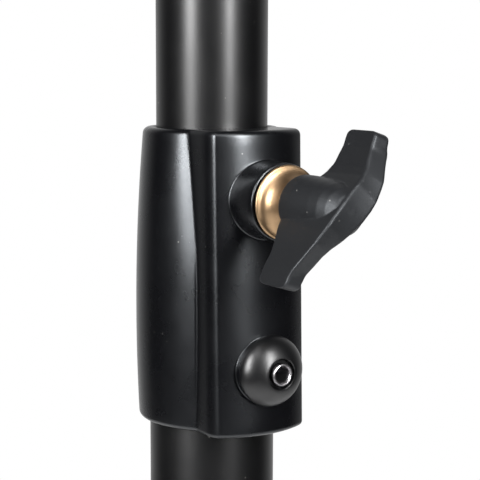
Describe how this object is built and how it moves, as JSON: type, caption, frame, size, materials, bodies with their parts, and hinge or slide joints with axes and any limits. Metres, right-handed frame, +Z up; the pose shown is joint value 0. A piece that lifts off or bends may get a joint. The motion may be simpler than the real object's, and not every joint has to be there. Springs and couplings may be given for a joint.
{
  "type": "music stand",
  "caption": "Black tubular music stand with a folding tripod base, a telescoping column held by a wing-knob clamp collar, and a tilting sheet-metal desk with a ledge.",
  "frame": {"origin": "on the floor, under the middle of the stand's outline seen from above", "axes": "+Z up, +X towards the clamp knob (the player's right), -Y towards the player"},
  "size_m": [0.6016, 0.5236, 1.2241],
  "materials": {
    "casting": "black satin powder-coated die casting",
    "tube": "black semi-gloss powder-coated steel tube",
    "sheet": "black matt powder-coated sheet steel",
    "knob_plastic": "black matt moulded plastic",
    "gloss_plastic": "black glossy moulded plastic",
    "brass": "turned and polished brass",
    "steel": "zinc-plated steel",
    "rivet_steel": "nickel-plated rivet steel",
    "nylon": "black nylon",
    "rubber": "black rubber"
  },
  "bodies": {
    "stand": {"base_hub": "casting", "base_insert": "steel", "base_washer": "steel", "base_bolt": "steel", "lower_tube": "tube", "clamp_collar": "casting", "collar_liner": "nylon", "thread_bush": "steel", "rivet_cup": "gloss_plastic", "clamp_rivet": "rivet_steel", "leg_pin_1": "steel", "leg_pin_2": "steel", "leg_pin_3": "steel"},
    "guide": {"guide_bush": "nylon"},
    "mast": {"upper_tube": "tube", "mast_head": "casting", "mast_head_pin": "steel"},
    "desk": {"desk_bracket": "sheet", "desk_panel": "sheet", "desk_ledge": "sheet", "tilt_washer_left": "nylon", "tilt_washer_right": "nylon", "tilt_bolt": "steel", "tilt_nut": "steel", "desk_rivet_1": "rivet_steel", "desk_rivet_2": "rivet_steel", "desk_rivet_3": "rivet_steel", "desk_rivet_4": "rivet_steel", "ledge_rivet_1": "rivet_steel", "ledge_rivet_2": "rivet_steel", "ledge_rivet_3": "rivet_steel"},
    "shoe": {"clamp_shoe": "nylon"},
    "knob": {"clamp_stud": "steel", "knob_ferrule": "brass", "wing_knob": "knob_plastic"},
    "leg_1": {"leg_knuckle_1": "casting", "leg_tube_1": "tube", "leg_foot_1": "rubber"},
    "leg_2": {"leg_knuckle_2": "casting", "leg_tube_2": "tube", "leg_foot_2": "rubber"},
    "leg_3": {"leg_knuckle_3": "casting", "leg_tube_3": "tube", "leg_foot_3": "rubber"}
  },
  "joints": [
    {"name": "height_slide", "type": "slide", "parent": "stand", "child": "guide", "axis": [0, 0, 1], "range_m": [-0.2, 0.2]},
    {"name": "column_swivel", "type": "hinge", "parent": "guide", "child": "mast", "pos_m": [0, 0.08172, 0.7], "axis": [0, 0, 1], "range_deg": [-180, 180]},
    {"name": "desk_tilt", "type": "hinge", "parent": "mast", "child": "desk", "pos_m": [0, 0.08172, 1.04], "axis": [1, 0, 0], "range_deg": [-60, 25]},
    {"name": "shoe_slide", "type": "slide", "parent": "stand", "child": "shoe", "axis": [1, 0, 0], "range_m": [0, 0.002]},
    {"name": "knob_turn", "type": "hinge", "parent": "shoe", "child": "knob", "pos_m": [0.04, 0.08172, 0.6173], "axis": [1, 0, 0], "range_deg": [0, 720]},
    {"name": "leg_fold_1", "type": "hinge", "parent": "stand", "child": "leg_1", "pos_m": [0, 0.03972, 0.096], "axis": [1, 0, 0], "range_deg": [0, 70]},
    {"name": "leg_fold_2", "type": "hinge", "parent": "stand", "child": "leg_2", "pos_m": [0.03637, 0.10272, 0.096], "axis": [-0.5, 0.866, 0], "range_deg": [0, 70]},
    {"name": "leg_fold_3", "type": "hinge", "parent": "stand", "child": "leg_3", "pos_m": [-0.03637, 0.10272, 0.096], "axis": [-0.5, -0.866, 0], "range_deg": [0, 70]}
  ],
  "couplings": [
    {"joint": "shoe_slide", "follows": "knob_turn", "m_per_rad": 0.00015915}
  ]
}
